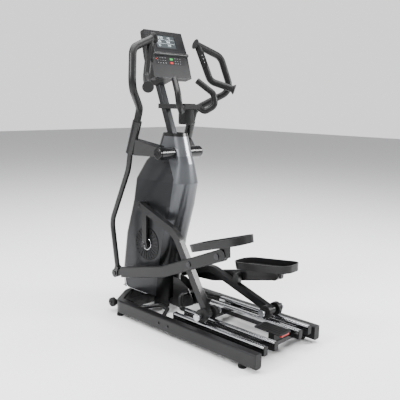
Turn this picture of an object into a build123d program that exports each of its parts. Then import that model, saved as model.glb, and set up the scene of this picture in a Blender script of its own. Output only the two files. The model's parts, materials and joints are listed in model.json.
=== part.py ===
"""Elliptical trainer: a floor frame with four rails, an upright shroud round the crank drive,
two roller legs, two foot arms with pedals, two swing arms with hand grips and a console.

Frame of the part, in millimetres: +X is the machine's right, +Y is forward (towards the console),
+Z is up, and the origin is on the floor under the middle of the bounding box.
The left side is modelled at x < 0. Each side stands where its crank puts it: the left crank is up
and the right crank is down.
"""
import math
import os
from build123d import *

os.makedirs("parts", exist_ok=True)

# ---------------------------------------------------------------- driving sizes
# floor frame
base_width = 600            # over the two floor beams
beam_w = 50                 # floor beam, width
beam_h = 84                 # floor beam, height
beam_wall = 2.5
beam_bottom = 22            # underside of the beams above the floor
rear_y = -661               # rear ends of the floor beams
seam_y = 38                 # joint between the rear beams and the front frame
corner_y = 475              # where the front frame starts to turn inwards
nose_y = 590                # centreline of the front tube
nose_half = 110             # half length of the straight front tube
frame_bend = 60             # bend radius of the front tube
cap_t = 5                   # plastic end caps

# rails and ramp frame
rail_x = (114, 206)         # inner and outer rail of each side
rail_w = 32
rail_top = 124
rail_h = 24
ramp_tube_h = 28
ramp_rear_y = -655
ramp_front_y = 24
rail_wall = 2.0

# crank drive
crank_y = 402
crank_z = 463
crank_throw = 258
axle_r = 12.5
crank_x = 116               # inner face of each crank arm
crank_t = 18
pulley_r = 150
pulley_t = 16
flywheel_y = 330
flywheel_z = 800
flywheel_r = 120
flywheel_t = 18
flywheel_pulley_r = 22
belt_t = 3

# legs, rollers
leg_x = 142                 # inner face of each leg
leg_w = 36
leg_depth = 46
leg_length = 818            # crank pin to roller axle
leg_bend_s = 324            # corner of the leg, along and off the pin-to-roller line
leg_bend_h = 132
leg_bend_r = 170
pivot_s = 546               # foot arm pivot, along and off the same line
pivot_h = 135
roller_r = 39.5
roller_t = 26
roller_gap = 0.3            # roller tread above the rail
roller_axle_r = 10

# foot arms and pedals
arm_x = 183                 # inner face of each foot arm
arm_w = 34
arm_depth = 70
arm_length = 727            # front joint to leg pivot
arm_bend_s = 484
arm_bend_h = -27
arm_end_s = 987
arm_end_h = 29
cap_s = 961                 # pedal bolt
cap_h = 26
pedal_x = (74, 238)         # inboard and outboard side of the tray
pedal_s = (758, 1158)       # front and rear of the tray
pedal_h = 68                # underside of the tray above the arm line
pedal_rim = 44
pedal_wall = 5

# swing arms
hub_y = 224
hub_z = 1063
hub_r = 38
hub_inner_x = 68
hub_outer_x = 170
swing_length = 909
swing_tube_r = 17
grip_r = 22
sleeve_r = 29
tube_wall = 2.5

# mast and console
mast_w = 46
mast_d = 42
mast_wall = 2.5
mast_foot = (250, 1090)     # y, z where the mast leaves the upright frame
mast_head = (425, 1525)
console_w = 316
console_foot = (279, 1520)  # y, z of the lower edge of the console's face
console_ledge = (321, 1662)
console_top = (383, 1806)

# shroud: height, rear, front, half width
shroud_levels = (
    (50, 265, 660, 104),
    (250, 240, 666, 108),
    (500, 198, 630, 108),
    (730, 130, 562, 104),
    (880, 96, 548, 92),
    (1000, 118, 480, 67),
    (1090, 150, 372, 58),
    (1185, 178, 335, 56),
)
shroud_wall = 3
shroud_skirt_z = 122        # lower edge of the side shells
cap_seam_z = 1046           # seam between the rear spine and the upper cap

running_gap = 0.05          # radial clearance of a shaft that turns in its hole
body_gap = 0.5              # gap between pieces that move past each other

sides = (("left", -1), ("right", 1))


# ---------------------------------------------------------------- linkage
def turn(point, angle):
    """Turn a (y, z) point about the X axis by angle, in radians."""
    y, z = point
    return (y * math.cos(angle) - z * math.sin(angle), y * math.sin(angle) + z * math.cos(angle))


def along(start, end, s, h):
    """The (y, z) point s along the line from start to end and h to its upper side."""
    length = math.dist(start, end)
    uy, uz = (end[0] - start[0]) / length, (end[1] - start[1]) / length
    return (start[0] + s * uy - h * abs(uz), start[1] + s * uz + h * abs(uy)) if uz < 0 else (
        start[0] + s * uy + h * uz, start[1] + s * uz - h * uy)


def meet(centre_a, radius_a, centre_b, radius_b):
    """The forward one of the two points where two circles meet."""
    d = math.dist(centre_a, centre_b)
    a = (radius_a ** 2 - radius_b ** 2 + d * d) / (2 * d)
    h = math.sqrt(radius_a ** 2 - a * a)
    uy, uz = (centre_b[0] - centre_a[0]) / d, (centre_b[1] - centre_a[1]) / d
    mid = (centre_a[0] + a * uy, centre_a[1] + a * uz)
    return max((mid[0] + h * uz, mid[1] - h * uy), (mid[0] - h * uz, mid[1] + h * uy))


crank_centre = (crank_y, crank_z)
hub_centre = (hub_y, hub_z)
roller_axle_z = rail_top + roller_gap + roller_r


def stance(crank_angle):
    """The joints of one side when its crank stands crank_angle back from straight up."""
    pin_offset = turn((0, crank_throw), crank_angle)
    pin = (crank_y + pin_offset[0], crank_z + pin_offset[1])
    drop = pin[1] - roller_axle_z
    roller = (pin[0] - math.sqrt(leg_length ** 2 - drop ** 2), roller_axle_z)
    pivot = along(pin, roller, pivot_s, pivot_h)
    joint = meet(pivot, arm_length, hub_centre, swing_length)
    return {"pin": pin, "roller": roller, "pivot": pivot, "joint": joint}


stances = {"left": stance(0), "right": stance(math.pi)}


def low_x(s, x, width):
    """Lower x of a piece whose inner face is x from the middle, on side s."""
    return x if s > 0 else -(x + width)


def at(s, x, point):
    """A 3-D point on side s, x out from the middle, at a (y, z) point."""
    return (s * x, point[0], point[1])


# ---------------------------------------------------------------- floor frame
beam_top = beam_bottom + beam_h
beam_mid_z = beam_bottom + beam_h / 2
beam_mid_x = (base_width - beam_w) / 2
beam_round = 10

for side, s in sides:
    # rear half of one floor beam: rounded rectangular steel tube
    with BuildPart() as floor_beam:
        with BuildSketch(Plane.XZ.offset(-rear_y)):
            with Locations((s * beam_mid_x, beam_mid_z)):
                RectangleRounded(beam_w, beam_h, beam_round)
                RectangleRounded(beam_w - 2 * beam_wall, beam_h - 2 * beam_wall,
                                 beam_round - beam_wall, mode=Mode.SUBTRACT)
        extrude(amount=-(seam_y - rear_y - body_gap))
    floor_beam.part.label = f"floor_beam_{side}"
    export_step(floor_beam.part, f"parts/floor_beam_{side}.step")

# front frame: one bent tube round the nose, a cross tube and a keel that carries the upright
keel_w = 60
keel_h = 40
keel_rear_y = 150
keel_z = 90
front_cross_y = 365
front_tube_z = beam_mid_z
wheel_x = 274               # transport wheels at the front corners
wheel_y = 552
wheel_z = 66
wheel_r = 30
wheel_t = 26
wheel_axle_r = 6
with BuildPart() as front_frame:
    with BuildLine() as nose:
        FilletPolyline((-beam_mid_x, seam_y, front_tube_z), (-beam_mid_x, corner_y, front_tube_z),
                       (-nose_half, nose_y, front_tube_z), (nose_half, nose_y, front_tube_z),
                       (beam_mid_x, corner_y, front_tube_z), (beam_mid_x, seam_y, front_tube_z),
                       radius=frame_bend)
    with BuildSketch(Plane(origin=nose.line @ 0, x_dir=(1, 0, 0), z_dir=nose.line % 0)):
        RectangleRounded(beam_w, beam_h, beam_round)
        RectangleRounded(beam_w - 2 * beam_wall, beam_h - 2 * beam_wall,
                         beam_round - beam_wall, mode=Mode.SUBTRACT)
    sweep()
    with BuildSketch(Plane.XZ.offset(-front_cross_y)):
        with Locations((0, keel_z)):
            Rectangle(2 * beam_mid_x - beam_w + 2, keel_h)
    extrude(amount=-keel_w)
    with BuildSketch(Plane.XZ.offset(-keel_rear_y)):
        with Locations((0, keel_z)):
            Rectangle(keel_w, keel_h)
            Rectangle(keel_w - 2 * beam_wall, keel_h - 2 * beam_wall, mode=Mode.SUBTRACT)
    extrude(amount=-(nose_y - beam_w / 2 + 1 - keel_rear_y))
    for side, s in sides:
        with Locations((s * (wheel_x - wheel_t / 2 - 8), wheel_y - 26, wheel_z)):
            Box(10, 72, 30)
        with Locations((s * (wheel_x - 6), wheel_y, wheel_z)):
            Cylinder(wheel_axle_r, wheel_t + 24, rotation=(0, 90, 0))
front_frame.part.label = "front_frame"
export_step(front_frame.part, "parts/front_frame.step")

for side, s in sides:
    # transport wheel, clear of the floor until the machine is tipped forward
    with BuildPart() as transport_wheel:
        with BuildSketch(Plane.YZ.offset(s * wheel_x - wheel_t / 2)):
            with Locations((wheel_y, wheel_z)):
                Circle(wheel_r)
                Circle(wheel_axle_r + running_gap, mode=Mode.SUBTRACT)
        extrude(amount=wheel_t)
        fillet(transport_wheel.edges().filter_by(GeomType.CIRCLE).sort_by(SortBy.RADIUS)[-2:], 4)
    transport_wheel.part.label = f"transport_wheel_{side}"
    export_step(transport_wheel.part, f"parts/transport_wheel_{side}.step")

# plastic plugs in the rear ends of the beams and both ends of the rails' tubes
ramp_tube_z = rail_top - rail_h - ramp_tube_h / 2
with BuildPart() as end_caps:
    for side, s in sides:
        with BuildSketch(Plane.XZ.offset(-rear_y + body_gap)):
            with Locations((s * beam_mid_x, beam_mid_z)):
                RectangleRounded(beam_w, beam_h, beam_round)
        extrude(amount=cap_t)
        for x in rail_x:
            for y, out in ((ramp_rear_y, 1), (ramp_front_y, -1)):
                with BuildSketch(Plane.XZ.offset(-y + out * body_gap)):
                    with Locations((s * x, ramp_tube_z + rail_h / 2)):
                        RectangleRounded(rail_w, ramp_tube_h + rail_h, 6)
                extrude(amount=out * cap_t)
end_caps.part.label = "end_caps"
export_step(end_caps.part, "parts/end_caps.step")

# levelling feet: star knob, stud and pad in one moulding, screwed into the frame from below
foot_r = 24
foot_places = ((beam_mid_x, rear_y + 100), (beam_mid_x, corner_y - 5))
with BuildPart() as levelling_feet:
    for side, s in sides:
        for x, y in foot_places:
            with Locations((s * x, y, 0)):
                Cylinder(foot_r, 8, align=(Align.CENTER, Align.CENTER, Align.MIN))
            with Locations((s * x, y, 8)):
                Cylinder(9, beam_bottom - 8 - 0.2, align=(Align.CENTER, Align.CENTER, Align.MIN))
            with Locations((s * x, y, 12)):
                with PolarLocations(foot_r - 7, 6):
                    Cylinder(6, 7, align=(Align.CENTER, Align.CENTER, Align.MIN))
            with Locations((s * x, y, 12)):
                Cylinder(foot_r - 7, 7, align=(Align.CENTER, Align.CENTER, Align.MIN))
levelling_feet.part.label = "levelling_feet"
export_step(levelling_feet.part, "parts/levelling_feet.step")

# ramp frame: four black tubes that carry the rails, tied to both beams by two cross members
cross_z = 60
cross_h = 24
cross_w = 50
cross_places = (ramp_rear_y + 90, ramp_front_y - 75)
with BuildPart() as ramp_frame:
    for side, s in sides:
        for x in rail_x:
            with BuildSketch(Plane.XZ.offset(-ramp_rear_y)):
                with Locations((s * x, ramp_tube_z)):
                    Rectangle(rail_w, ramp_tube_h)
                    Rectangle(rail_w - 2 * rail_wall, ramp_tube_h - 2 * rail_wall,
                              mode=Mode.SUBTRACT)
            extrude(amount=-(ramp_front_y - ramp_rear_y))
    for y in cross_places:
        with BuildSketch(Plane.YZ.offset(-beam_mid_x + beam_w / 2)):
            with Locations((y, cross_z)):
                Rectangle(cross_w, cross_h)
                Rectangle(cross_w - 2 * rail_wall, cross_h - 2 * rail_wall, mode=Mode.SUBTRACT)
        extrude(amount=2 * beam_mid_x - beam_w)
ramp_frame.part.label = "ramp_frame"
export_step(ramp_frame.part, "parts/ramp_frame.step")

# rails: bright extrusions with a rounded running surface, one on each tube
rail_edge = 11
with BuildPart() as rails:
    for side, s in sides:
        for x in rail_x:
            with BuildSketch(Plane.XZ.offset(-ramp_rear_y)) as rail_section:
                with Locations((s * x, rail_top - rail_h / 2)):
                    Rectangle(rail_w, rail_h)
                    Rectangle(rail_w - 6, rail_h - 8, mode=Mode.SUBTRACT)
                fillet(rail_section.vertices().group_by(Axis.Y)[-1], rail_edge)
            extrude(amount=-(ramp_front_y - ramp_rear_y))
rails.part.label = "rails"
export_step(rails.part, "parts/rails.step")

# braces: a bent bar inside each beam, and the yoke that ties the inner rails to the keel
brace_r = 13
brace_top_z = 120           # low enough for the foot arm to pass over
yoke_r = 14
yoke_y = ramp_front_y + body_gap + cap_t
gusset_t = 5
with BuildPart() as frame_braces:
    for side, s in sides:
        with BuildLine() as brace:
            FilletPolyline((s * beam_mid_x, seam_y + 30, beam_top - 14),
                           (s * (beam_mid_x - 85), seam_y + 70, brace_top_z),
                           (s * (beam_mid_x - 85), seam_y + 150, brace_top_z),
                           (s * beam_mid_x, seam_y + 260, beam_top - 14), radius=26)
        with BuildSketch(Plane(origin=brace.line @ 0, z_dir=brace.line % 0)):
            Circle(brace_r)
        sweep()
        with Locations((s * beam_mid_x, seam_y + 150, beam_mid_z)):
            Box(beam_w + 20, 400, beam_h, mode=Mode.SUBTRACT)
    with BuildLine() as yoke:
        FilletPolyline((-rail_x[0], yoke_y, rail_top - 12), (-rail_x[0], yoke_y + 42, rail_top - 12),
                       (-rail_x[0] + 22, yoke_y + 70, rail_top + 60),
                       (rail_x[0] - 22, yoke_y + 70, rail_top + 60),
                       (rail_x[0], yoke_y + 42, rail_top - 12), (rail_x[0], yoke_y, rail_top - 12),
                       radius=(18, 22, 22, 18))
    with BuildSketch(Plane(origin=yoke.line @ 0, z_dir=yoke.line % 0)):
        Circle(yoke_r)
    sweep()
    # gusset plates between the keel and the yoke
    for side, s in sides:
        with BuildSketch(Plane.YZ.offset(low_x(s, keel_w / 2, gusset_t))):
            with BuildLine():
                Polyline((yoke_y + 20, 118), (yoke_y + 20, 150), (yoke_y + 62, 216), (180, 262),
                         (228, 262), (228, keel_z - keel_h / 2), (keel_rear_y + 2, keel_z - keel_h / 2),
                         close=True)
            make_face()
            with Locations((yoke_y + 70, rail_top + 60)):
                Circle(yoke_r, mode=Mode.SUBTRACT)
        extrude(amount=gusset_t)
frame_braces.part.label = "frame_braces"
export_step(frame_braces.part, "parts/frame_braces.step")

# lift handle: ribbed plate between the inner rails, bent down to the rear cross member
handle_w = 110
handle_len = 190
handle_z = 128
handle_t = 5
handle_rear = ramp_rear_y + 14
rib_count = 9
with BuildPart() as lift_handle:
    with BuildSketch(Plane.XY.offset(handle_z)) as handle_outline:
        with Locations((0, handle_rear + handle_len / 2)):
            RectangleRounded(handle_w, handle_len, 18)
    extrude(amount=handle_t)
    for i in range(rib_count):
        with Locations((0, handle_rear + 24 + i * (handle_len - 48) / (rib_count - 1), handle_z)):
            Box(handle_w - 24, 5, handle_t + 3, align=(Align.CENTER, Align.CENTER, Align.MIN))
    with Locations((0, cross_places[0], cross_z + cross_h / 2)):
        Box(handle_w - 40, cross_w - 10, handle_z - cross_z - cross_h / 2 + 1,
            align=(Align.CENTER, Align.CENTER, Align.MIN))
lift_handle.part.label = "lift_handle"
export_step(lift_handle.part, "parts/lift_handle.step")

# red latch bar under the rear edge of the lift handle
with BuildPart() as lift_latch:
    with Locations((0, handle_rear + 11, handle_z - 0.3)):
        Box(handle_w - 36, 14, 12, align=(Align.CENTER, Align.CENTER, Align.MAX))
    fillet(lift_latch.edges().filter_by(Axis.Z), 4)
lift_latch.part.label = "lift_latch"
export_step(lift_latch.part, "parts/lift_latch.step")

# ---------------------------------------------------------------- upright frame, mast, hub axle
post_w = 46
post_d = 50
bearing_r = 26
bearing_x = 60              # outer faces of the crank bearing shell
hub_tube_r = 22
post_foot_y = 300
mast_run = math.dist(mast_foot, mast_head)
mast_uy, mast_uz = (mast_head[0] - mast_foot[0]) / mast_run, (mast_head[1] - mast_foot[1]) / mast_run
post_route = ((post_foot_y, keel_z + keel_h / 2), (post_foot_y, 150), (post_foot_y - 14, 500), (post_foot_y - 85, 890),
              (mast_foot[0] - 70 * mast_uy, mast_foot[1] - 70 * mast_uz), mast_foot)
with BuildPart() as upright_frame:
    with BuildSketch(Plane.YZ.offset(-post_w / 2)):
        with BuildLine() as post_line:
            Polyline(*post_route)
        trace(line_width=post_d)
    extrude(amount=post_w)
    # mast socket, hub tube, crank bearing shell and its arm, flywheel fork plate
    with Locations((0, crank_y, crank_z)):
        Cylinder(bearing_r, 2 * bearing_x, rotation=(0, 90, 0))
    with Locations((0, (crank_y + post_foot_y) / 2, crank_z)):
        Box(post_w, crank_y - post_foot_y, 44)
    with Locations((0, hub_y, hub_z)):
        Cylinder(hub_tube_r, 2 * hub_inner_x - 16, rotation=(0, 90, 0))
    with Locations((0, flywheel_y - 55, flywheel_z)):
        Box(8, 150, 60)
    with BuildSketch(Plane.XY.offset(keel_z + keel_h / 2)):
        with Locations((0, post_foot_y + 5)):
            Rectangle(keel_w, 76)
    extrude(amount=8)
    with Locations((0, crank_y, crank_z)):
        Cylinder(axle_r + 3, 2 * bearing_x + 2, rotation=(0, 90, 0), mode=Mode.SUBTRACT)
    with Locations((0, hub_y, hub_z)):
        Cylinder(axle_r + 2.5 + running_gap, 2 * hub_inner_x + 2, rotation=(0, 90, 0),
                 mode=Mode.SUBTRACT)
    with Locations((0, flywheel_y, flywheel_z)):
        Cylinder(8, 2 * post_w, rotation=(0, 90, 0), mode=Mode.SUBTRACT)
upright_frame.part.label = "upright_frame"
export_step(upright_frame.part, "parts/upright_frame.step")

# mast: square tube from the upright frame to the console
mast_base = Vector(0, *mast_foot)
mast_tip = Vector(0, *mast_head)
mast_dir = (mast_tip - mast_base).normalized()
with BuildPart() as mast:
    with BuildSketch(Plane(origin=mast_base, x_dir=(1, 0, 0), z_dir=mast_dir)):
        RectangleRounded(mast_w, mast_d, 6)
        RectangleRounded(mast_w - 2 * mast_wall, mast_d - 2 * mast_wall, 3.5, mode=Mode.SUBTRACT)
    extrude(amount=(mast_tip - mast_base).length)
mast.part.label = "mast"
export_step(mast.part, "parts/mast.step")

# hub axle: one bar through the upright frame that carries both swing arms, with end caps
hub_cap_t = 13
hub_cap_r = 34
with BuildPart() as hub_axle:
    with Locations((0, hub_y, hub_z)):
        Cylinder(axle_r + 2.5, 2 * (hub_outer_x + 1), rotation=(0, 90, 0))
    for side, s in sides:
        with BuildSketch(Plane.YZ.offset(s * (hub_outer_x + body_gap))):
            with Locations((hub_y, hub_z)):
                Circle(hub_cap_r)
        extrude(amount=s * hub_cap_t)
        # thrust collar between the shroud and the barrel
        with BuildSketch(Plane.YZ.offset(s * (hub_inner_x - body_gap))):
            with Locations((hub_y, hub_z)):
                Circle(axle_r + 9)
        extrude(amount=-s * 5)
    fillet(hub_axle.faces().sort_by(Axis.X)[0].edges(), 5)
    fillet(hub_axle.faces().sort_by(Axis.X)[-1].edges(), 5)
hub_axle.part.label = "hub_axle"
export_step(hub_axle.part, "parts/hub_axle.step")

# ---------------------------------------------------------------- crank drive
crank_hub_r = 27
crank_hub_x = 112
pin_r = 9
with BuildPart() as crank_axle:
    with Locations((0, crank_y, crank_z)):
        Cylinder(axle_r, 2 * (crank_x + crank_t), rotation=(0, 90, 0))
crank_axle.part.label = "crank_axle"
export_step(crank_axle.part, "parts/crank_axle.step")

# two sealed bearings pressed into the shell of the upright frame
with BuildPart() as crank_bearings:
    for side, s in sides:
        with BuildSketch(Plane.YZ.offset(low_x(s, bearing_x - 14, 14))):
            with Locations((crank_y, crank_z)):
                Circle(axle_r + 3)
                Circle(axle_r + running_gap, mode=Mode.SUBTRACT)
        extrude(amount=14)
crank_bearings.part.label = "crank_bearings"
export_step(crank_bearings.part, "parts/crank_bearings.step")

# pulley: rim, web and hub outboard of the bearing shell's middle, keyed to the axle
with BuildPart() as crank_pulley:
    with BuildSketch(Plane.YZ.offset(bearing_x + 1)):
        with Locations((crank_y, crank_z)):
            Circle(pulley_r)
            Circle(axle_r, mode=Mode.SUBTRACT)
    extrude(amount=8)
    with BuildSketch(Plane.YZ.offset(bearing_x + 1 - pulley_t)):
        with Locations((crank_y, crank_z)):
            Circle(pulley_r)
            Circle(pulley_r - 10, mode=Mode.SUBTRACT)
    extrude(amount=pulley_t)
    with Locations(Plane(origin=(bearing_x + 1, crank_y, crank_z), z_dir=(1, 0, 0))):
        with PolarLocations(0.62 * pulley_r, 6):
            Hole(pulley_r / 6)
crank_pulley.part.label = "crank_pulley"
export_step(crank_pulley.part, "parts/crank_pulley.step")

for side, s in sides:
    # crank arm: forged bar with a round boss on the axle and an eye round the pin
    pin = stances[side]["pin"]
    pin_up = 1 if pin[1] > crank_z else -1
    with BuildPart() as crank_arm:
        with BuildSketch(Plane.YZ.offset(low_x(s, crank_x, crank_t))):
            with Locations((crank_y, crank_z)):
                Circle(crank_hub_r)
            with Locations(pin):
                Circle(24)
            with Locations((crank_y, (crank_z + pin[1]) / 2)):
                Rectangle(42, crank_throw)
        extrude(amount=crank_t)
        with BuildSketch(Plane.YZ.offset(low_x(s, crank_hub_x, crank_x - crank_hub_x))):
            with Locations((crank_y, crank_z)):
                Circle(crank_hub_r - 4)
        extrude(amount=crank_x - crank_hub_x)
        with BuildSketch(Plane.YZ.offset(low_x(s, crank_hub_x - 1, crank_t + 6))):
            with Locations((crank_y, crank_z)):
                Circle(axle_r)
        extrude(amount=crank_t + 6, mode=Mode.SUBTRACT)
    crank_arm.part.label = f"{side}_crank_arm"
    export_step(crank_arm.part, f"parts/{side}_crank_arm.step")

# flywheel with its small pulley, turning on a fixed axle held by the upright frame
flywheel_x = 26
flywheel_bore = 8 + running_gap
with BuildPart() as flywheel:
    with BuildSketch(Plane.YZ.offset(flywheel_x)):
        with Locations((flywheel_y, flywheel_z)):
            Circle(flywheel_r)
            Circle(flywheel_bore, mode=Mode.SUBTRACT)
    extrude(amount=8)
    with BuildSketch(Plane.YZ.offset(flywheel_x)):
        with Locations((flywheel_y, flywheel_z)):
            Circle(flywheel_r)
            Circle(flywheel_r - 26, mode=Mode.SUBTRACT)
    extrude(amount=flywheel_t)
    with BuildSketch(Plane.YZ.offset(flywheel_x)):
        with Locations((flywheel_y, flywheel_z)):
            Circle(flywheel_pulley_r)
            Circle(flywheel_bore, mode=Mode.SUBTRACT)
    extrude(amount=bearing_x + 1 - flywheel_x)
flywheel.part.label = "flywheel"
export_step(flywheel.part, "parts/flywheel.step")

with BuildPart() as flywheel_axle:
    with Locations((27, flywheel_y, flywheel_z)):
        Cylinder(8, 90, rotation=(0, 90, 0))
flywheel_axle.part.label = "flywheel_axle"
export_step(flywheel_axle.part, "parts/flywheel_axle.step")

# ribbed belt: two straight runs and two wraps, a thin band round both pulleys
belt_x = bearing_x + 1 - pulley_t + 2
belt_w = pulley_t - 4
belt_gap = 0.4
belt_big = pulley_r + belt_gap
belt_small = flywheel_pulley_r + belt_gap


belt_span = math.dist((crank_y, crank_z), (flywheel_y, flywheel_z))
belt_line = math.atan2(flywheel_z - crank_z, flywheel_y - crank_y)
belt_lean = math.acos((belt_big - belt_small) / belt_span)


def belt_points(extra):
    """The four points where the belt's runs meet its wraps."""
    points = []
    for centre, radius in ((crank_centre, belt_big), ((flywheel_y, flywheel_z), belt_small)):
        for sign in (1, -1):
            a = belt_line + sign * belt_lean
            points.append((centre[0] + (radius + extra) * math.cos(a),
                           centre[1] + (radius + extra) * math.sin(a)))
    return points


with BuildPart() as drive_belt:
    with BuildSketch(Plane.YZ.offset(belt_x)):
        for extra, mode in ((belt_t, Mode.ADD), (0, Mode.SUBTRACT)):
            p = belt_points(extra)
            with Locations((crank_y, crank_z)):
                Circle(belt_big + extra, mode=mode)
            with Locations((flywheel_y, flywheel_z)):
                Circle(belt_small + extra, mode=mode)
            with BuildLine():
                Polyline(p[0], p[1], p[3], p[2], close=True)
            make_face(mode=mode)
    extrude(amount=belt_w)
drive_belt.part.label = "drive_belt"
export_step(drive_belt.part, "parts/drive_belt.step")

# idler on a sprung arm that keeps the belt tight
idler_r = 18
run_low, run_high = belt_points(belt_t + idler_r)[1::2]
idler_y, idler_z = run_low[0] * 0.65 + run_high[0] * 0.35, run_low[1] * 0.65 + run_high[1] * 0.35
with BuildPart() as belt_tensioner:
    with BuildSketch(Plane.YZ.offset(belt_x)):
        with Locations((idler_y, idler_z)):
            Circle(idler_r)
    extrude(amount=belt_w)
    with BuildSketch(Plane.YZ.offset(belt_x - 12)):
        with BuildLine():
            Polyline((idler_y, idler_z), (post_foot_y, idler_z - 70))
        trace(line_width=22)
    extrude(amount=8)
    with Locations((belt_x - 6, idler_y, idler_z)):
        Cylinder(6, 20, rotation=(0, 90, 0))
    with BuildSketch(Plane.YZ.offset(post_w / 2)):
        with Locations((post_foot_y - 14, idler_z - 74)):
            Circle(16)
    extrude(amount=belt_x - 12 - post_w / 2)
belt_tensioner.part.label = "belt_tensioner"
export_step(belt_tensioner.part, "parts/belt_tensioner.step")

# magnetic brake: a curved yoke with magnets that hangs over the flywheel's rim
with BuildPart() as brake_magnet:
    with BuildSketch(Plane.YZ.offset(flywheel_x - 6)) as brake_section:
        with Locations((flywheel_y, flywheel_z)):
            Circle(flywheel_r + 16)
            Circle(flywheel_r + 3, mode=Mode.SUBTRACT)
        with Locations((flywheel_y + 60, flywheel_z + 90)):
            Rectangle(150, 110, mode=Mode.INTERSECT)
    extrude(amount=flywheel_t + 12)
    with BuildSketch(Plane.YZ.offset(post_w / 2)):
        with BuildLine():
            Polyline((flywheel_y - 8, flywheel_z + flywheel_r + 12), (post_route[3][0] + 6, post_route[3][1] + 40))
        trace(line_width=20)
    extrude(amount=8)
brake_magnet.part.label = "brake_magnet"
export_step(brake_magnet.part, "parts/brake_magnet.step")

# power inlet: round socket in the bottom of the front cover
with BuildPart() as power_inlet:
    with Locations((40, 612, 128)):
        Cylinder(8, 14)
        Cylinder(3.5, 16, mode=Mode.SUBTRACT)
power_inlet.part.label = "power_inlet"
export_step(power_inlet.part, "parts/power_inlet.step")

# ---------------------------------------------------------------- legs and rollers
leg_wall = 2.5
leg_eye_r = 27
foot_eye_r = 24
lug_t = 12
ring_r = 21
ring_t = 7
axle_reach = 97             # half length of a roller axle
leg_mid = leg_x + leg_w / 2
for side, s in sides:
    pin = stances[side]["pin"]
    roller = stances[side]["roller"]
    pivot = stances[side]["pivot"]
    bend = along(pin, roller, leg_bend_s, leg_bend_h)
    lug_root = along(pin, roller, pivot_s - 10, pivot_h - 62)

    # leg: bent rectangular tube with an eye at each end and a lug for the foot arm behind it
    with BuildPart() as leg:
        with BuildLine() as leg_line:
            FilletPolyline(at(s, leg_mid, pin), at(s, leg_mid, bend), at(s, leg_mid, roller),
                           radius=leg_bend_r)
        with BuildSketch(Plane(origin=leg_line.line @ 0, x_dir=(1, 0, 0),
                               z_dir=leg_line.line % 0)):
            Rectangle(leg_w, leg_depth)
            Rectangle(leg_w - 2 * leg_wall, leg_depth - 2 * leg_wall, mode=Mode.SUBTRACT)
        sweep()
        with BuildSketch(Plane.YZ.offset(low_x(s, leg_x, leg_w))):
            with Locations(pin):
                Circle(leg_eye_r)
            with Locations(roller):
                Circle(foot_eye_r)
        extrude(amount=leg_w)
        with BuildSketch(Plane.YZ.offset(low_x(s, leg_x, leg_w))):
            with Locations(pivot):
                Circle(22)
            with BuildLine():
                Polyline(lug_root, pivot)
            trace(line_width=44)
        extrude(amount=leg_w)
        with BuildSketch(Plane.YZ.offset(low_x(s, leg_x - 2, leg_w + 4))):
            with Locations(roller):
                Circle(roller_axle_r + running_gap)
        extrude(amount=leg_w + 4, mode=Mode.SUBTRACT)
        # crank pin stub towards the crank arm
        with BuildSketch(Plane.YZ.offset(low_x(s, crank_x + crank_t + body_gap,
                                               leg_x - crank_x - crank_t - body_gap))):
            with Locations(pin):
                Circle(pin_r + 4)
        extrude(amount=leg_x - crank_x - crank_t - body_gap)
    leg.part.label = f"{side}_leg"
    export_step(leg.part, f"parts/{side}_leg.step")

    # roller axle with an end ring outside each roller
    with BuildPart() as roller_axle:
        with BuildSketch(Plane.YZ.offset(s * leg_mid - axle_reach)):
            with Locations(roller):
                Circle(roller_axle_r)
        extrude(amount=2 * axle_reach)
        for x in (s * leg_mid - axle_reach, s * leg_mid + axle_reach - ring_t):
            with BuildSketch(Plane.YZ.offset(x)):
                with Locations(roller):
                    Circle(ring_r)
            extrude(amount=ring_t)
    roller_axle.part.label = f"{side}_roller_axle"
    export_step(roller_axle.part, f"parts/{side}_roller_axle.step")

    # two polyurethane rollers, one over each rail
    with BuildPart() as rollers:
        for x in rail_x:
            with BuildSketch(Plane.YZ.offset(s * x - roller_t / 2)):
                with Locations(roller):
                    Circle(roller_r)
                    Circle(roller_axle_r + running_gap, mode=Mode.SUBTRACT)
            extrude(amount=roller_t)
            with BuildSketch(Plane.YZ.offset(s * x - roller_t / 2 - 6)):
                with Locations(roller):
                    Circle(roller_axle_r + 9)
                    Circle(roller_axle_r + running_gap, mode=Mode.SUBTRACT)
            extrude(amount=roller_t + 12)
    rollers.part.label = f"{side}_rollers"
    export_step(rollers.part, f"parts/{side}_rollers.step")

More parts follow.
